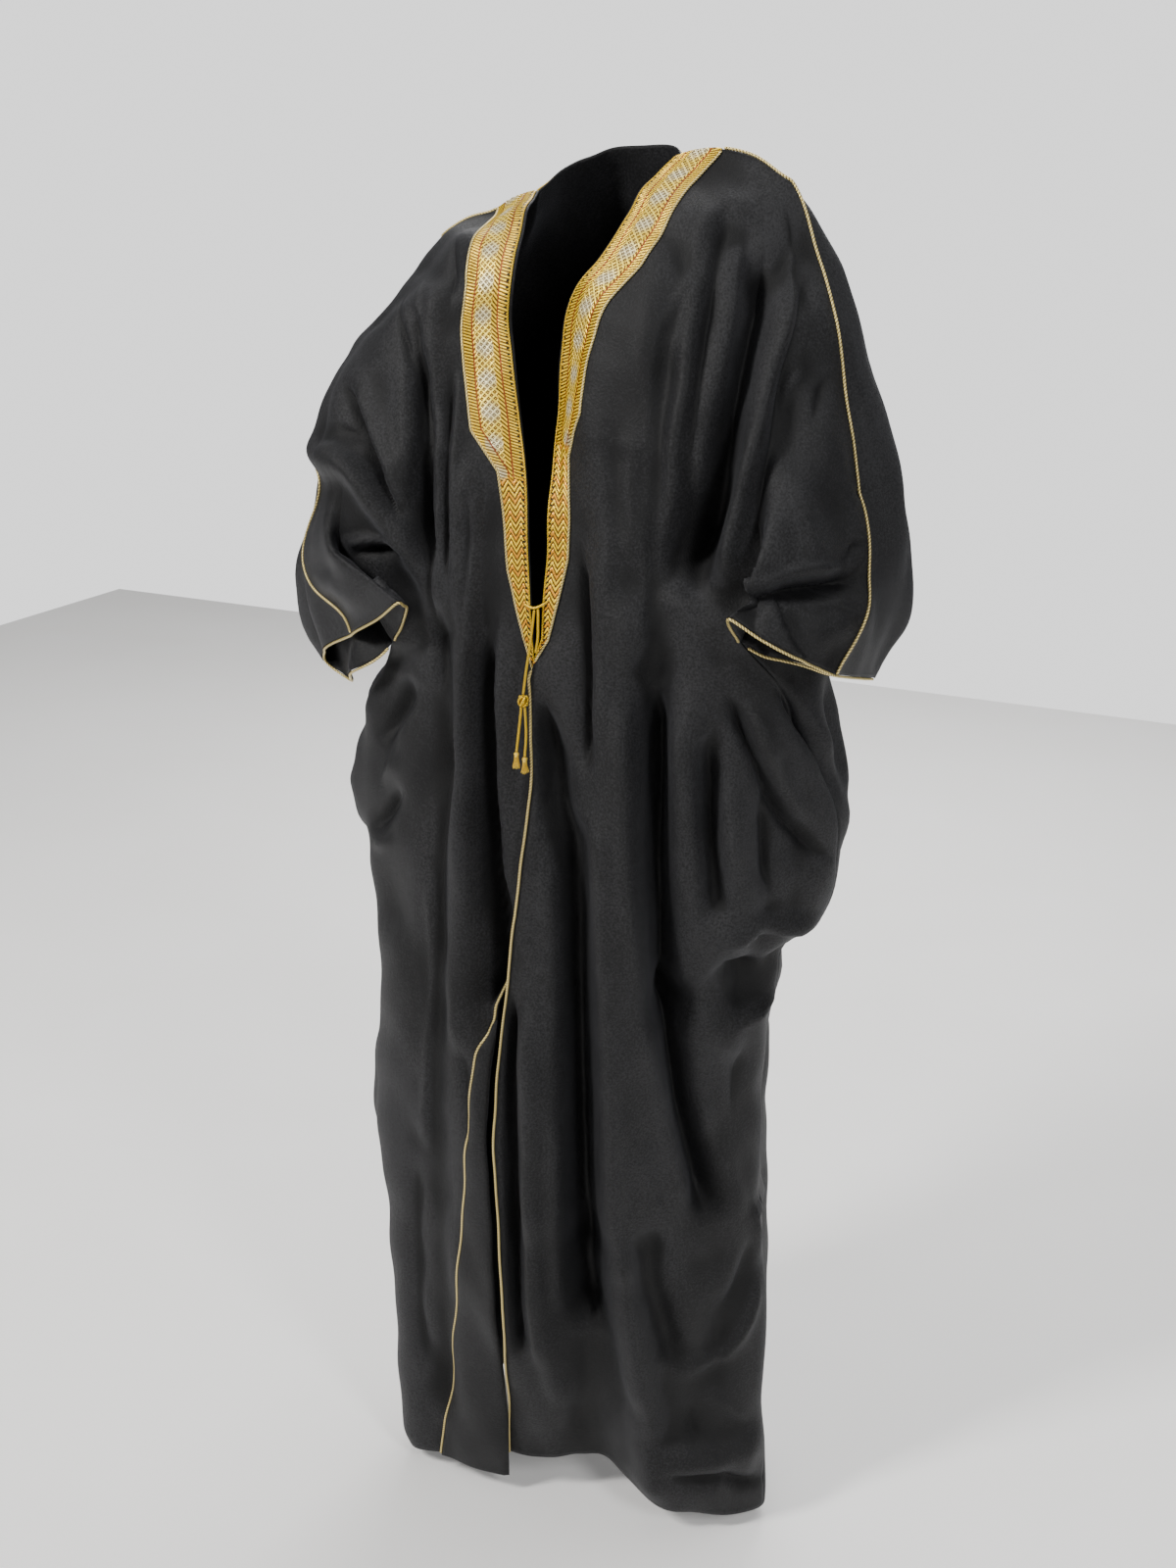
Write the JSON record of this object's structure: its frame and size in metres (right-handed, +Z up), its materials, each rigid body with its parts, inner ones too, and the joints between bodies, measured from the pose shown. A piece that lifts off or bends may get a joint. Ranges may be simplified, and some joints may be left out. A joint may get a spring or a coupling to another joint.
{
  "type": "bisht cloak",
  "caption": "Long open-fronted black cloak worn over the shoulders, with wide sleeves, metallic-thread bands at the opening, piping along the arms and a cord tie.",
  "frame": {"origin": "where the wearer's shoulders and the base of the neck carry the cloak, 1.50 m above the ground the wearer stands on", "axes": "+Z up, the wearer faces -Y, and +X is the wearer's left"},
  "size_m": [0.7125, 0.3527, 1.5341],
  "materials": {
    "black_cloth": "fine plain weave, faint sheen",
    "gold_thread": "metal-wrapped thread, satin"
  },
  "bodies": {
    "root": {"back": "black_cloth", "front_left": "black_cloth", "front_right": "black_cloth", "turned_edge_right": "black_cloth", "band_left": "gold_thread", "band_right": "gold_thread", "band_neck": "gold_thread", "piping_left": "gold_thread", "piping_right": "gold_thread", "cuff_cord_left": "gold_thread", "cuff_cord_right": "gold_thread", "edge_cord_left": "gold_thread", "edge_cord_right": "gold_thread", "tie_loop": "gold_thread", "tie_cord": "gold_thread", "tie_short_cord": "gold_thread", "tie_knot": "gold_thread", "tie_end_left": "gold_thread", "tie_end_right": "gold_thread", "tassel_left": "gold_thread", "tassel_right": "gold_thread"}
  },
  "joints": []
}
